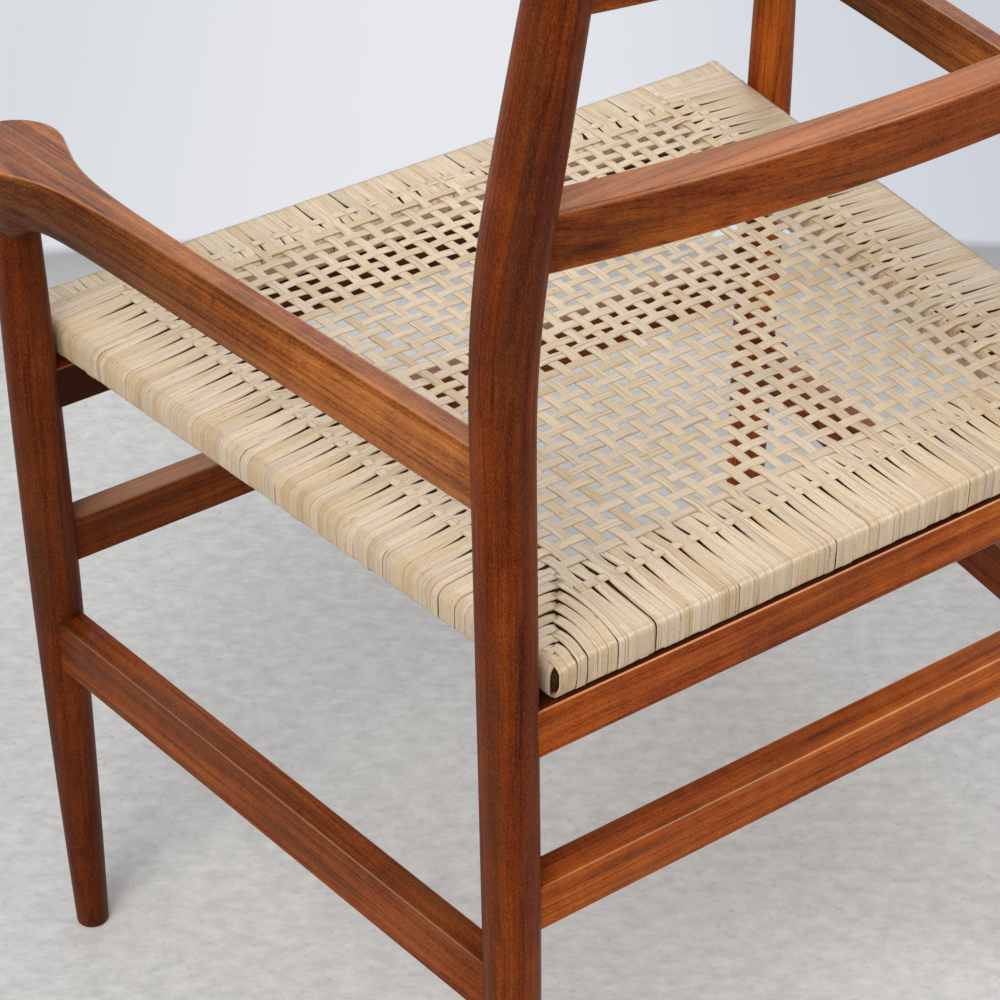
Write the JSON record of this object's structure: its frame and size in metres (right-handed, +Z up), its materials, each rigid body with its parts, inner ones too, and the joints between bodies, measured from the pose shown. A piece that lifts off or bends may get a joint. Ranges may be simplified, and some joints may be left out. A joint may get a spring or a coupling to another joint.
{
  "type": "dining armchair",
  "caption": "Wooden dining armchair with turned legs, raked bent rear posts, bowed slat back, paddle-ended arms and an open woven cane seat panel on rails.",
  "frame": {"origin": "on the floor under the middle of the chair's bounding box", "axes": "+Z up, -Y is the way the chair faces, +X is the sitter's left"},
  "size_m": [0.5964, 0.5084, 0.8513],
  "materials": {
    "wood": "oiled reddish-brown hardwood, satin",
    "frame_wood": "unfinished hardwood boards",
    "cane": "natural split cane, satin"
  },
  "bodies": {
    "root": {"front_leg_left": "wood", "front_leg_right": "wood", "rear_post_left": "wood", "rear_post_right": "wood", "arm_left": "wood", "arm_right": "wood", "front_seat_rail": "wood", "rear_seat_rail": "wood", "front_stretcher": "wood", "rear_stretcher": "wood", "side_stretcher_left": "wood", "side_stretcher_right": "wood", "lower_back_rail": "wood", "top_back_rail": "wood", "seat_frame_front": "frame_wood", "seat_frame_rear": "frame_wood", "seat_frame_left": "frame_wood", "seat_frame_right": "frame_wood", "cane_wrap_front": "cane", "cane_wrap_rear": "cane", "cane_wrap_left": "cane", "cane_wrap_right": "cane", "cane_field": "cane"}
  },
  "joints": []
}
